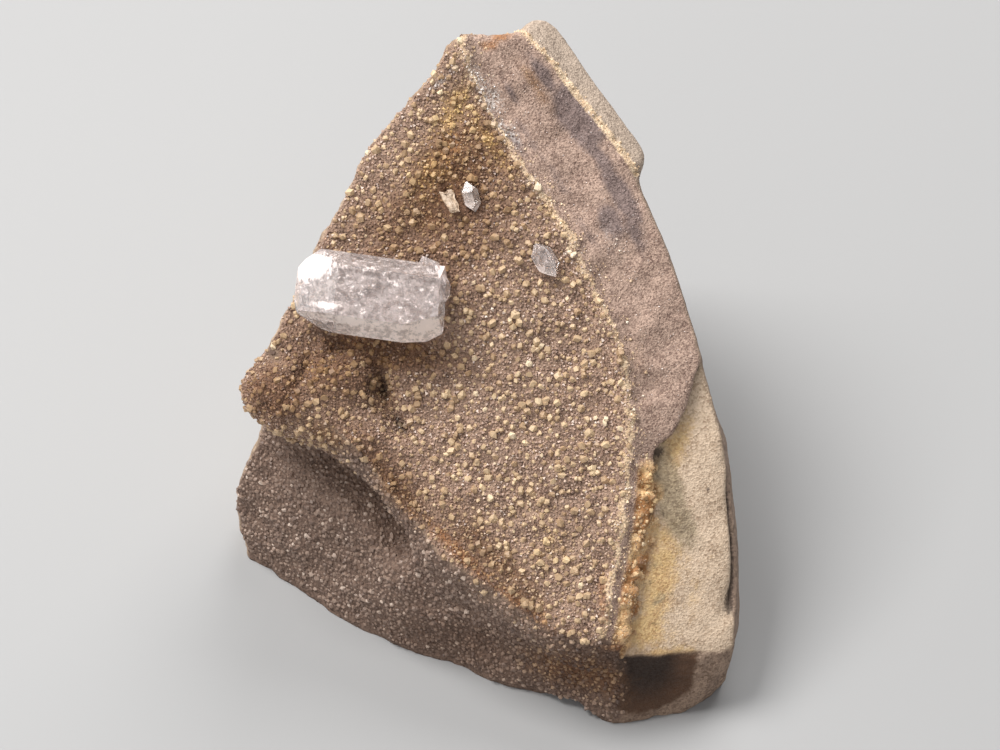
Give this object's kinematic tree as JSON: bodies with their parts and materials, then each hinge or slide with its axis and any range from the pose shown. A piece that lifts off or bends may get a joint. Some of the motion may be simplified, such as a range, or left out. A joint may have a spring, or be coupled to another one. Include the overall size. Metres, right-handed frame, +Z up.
{
  "type": "quartz on septarian",
  "caption": "Cabinet mineral specimen: a clear quartz crystal lying on the druse-lined crack wall of a septarian nodule fragment that stands on its base.",
  "frame": {"origin": "middle of the bounding box, on the flat base that the fragment stands on", "axes": "+Z up; the druse-lined wall faces -Y and leans back, so that it looks up at about 50 degrees; +X to the right as that wall is seen"},
  "size_m": [0.0528, 0.059, 0.0509],
  "materials": {
    "septarian_stone": "rough",
    "clear_quartz": "gloss",
    "pale_calcite": "satin"
  },
  "bodies": {
    "root": {"septarian_rock": "septarian_stone", "quartz_crystal": "clear_quartz", "small_quartz_crystal": "clear_quartz", "upper_quartz_crystal": "clear_quartz", "pale_calcite_blade": "pale_calcite"}
  },
  "joints": []
}
